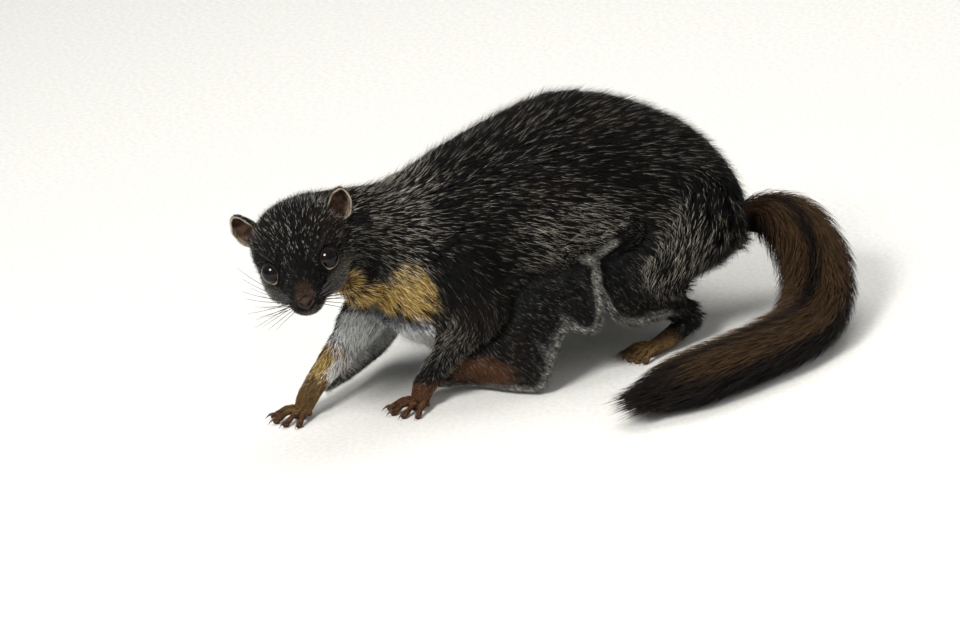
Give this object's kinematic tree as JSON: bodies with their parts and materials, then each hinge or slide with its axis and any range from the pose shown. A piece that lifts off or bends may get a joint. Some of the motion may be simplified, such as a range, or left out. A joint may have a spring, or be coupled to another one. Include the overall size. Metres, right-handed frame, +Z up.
{
  "type": "flying squirrel figure",
  "caption": "Still, life-size smoky flying squirrel standing on all fours, its head turned to its left and its bushy tail curled along the floor at its side.",
  "frame": {"origin": "middle of the bounding box on the floor plane that the animal stands on", "axes": "-Y is the way the body faces, +X is the animal's left, +Z is up; +Y runs from the chest to the rump, the longest extent"},
  "size_m": [0.1774, 0.2879, 0.1244],
  "materials": {
    "coat": "short, dense, near black coat with fine pale ticking",
    "paw": "thinly haired brown skin of the hands",
    "foot": "thinly haired yellow brown skin of the feet",
    "membrane": "haired gliding skin with a pale rolled edge",
    "ear_skin": "bare, pinkish brown ear skin",
    "nose_skin": "moist pinkish brown skin",
    "eye": "glossy black eyeball",
    "claw": "dark horn, smooth",
    "tail_coat": "long brown coat with a dark middle line and dark tip"
  },
  "bodies": {
    "root": {"nose": "nose_skin", "ear_left": "ear_skin", "eye_left": "eye", "ear_right": "ear_skin", "eye_right": "eye", "jaw": "coat", "head": "coat", "forearm_left": "coat", "shank_left": "coat", "hand_left": "paw", "claw_hand_left_1": "claw", "claw_hand_left_2": "claw", "claw_hand_left_3": "claw", "claw_hand_left_4": "claw", "foot_left": "foot", "claw_foot_left_1": "claw", "claw_foot_left_2": "claw", "claw_foot_left_3": "claw", "claw_foot_left_4": "claw", "claw_foot_left_5": "claw", "upper_arm_left": "coat", "thigh_left": "coat", "forearm_right": "coat", "shank_right": "coat", "hand_right": "paw", "claw_hand_right_1": "claw", "claw_hand_right_2": "claw", "claw_hand_right_3": "claw", "claw_hand_right_4": "claw", "foot_right": "foot", "claw_foot_right_1": "claw", "claw_foot_right_2": "claw", "claw_foot_right_3": "claw", "claw_foot_right_4": "claw", "claw_foot_right_5": "claw", "upper_arm_right": "coat", "thigh_right": "coat", "neck": "coat", "torso": "coat", "patagium_left": "membrane", "patagium_right": "membrane", "tail_base": "tail_coat", "tail_middle": "tail_coat", "tail_tip": "tail_coat"}
  },
  "joints": []
}
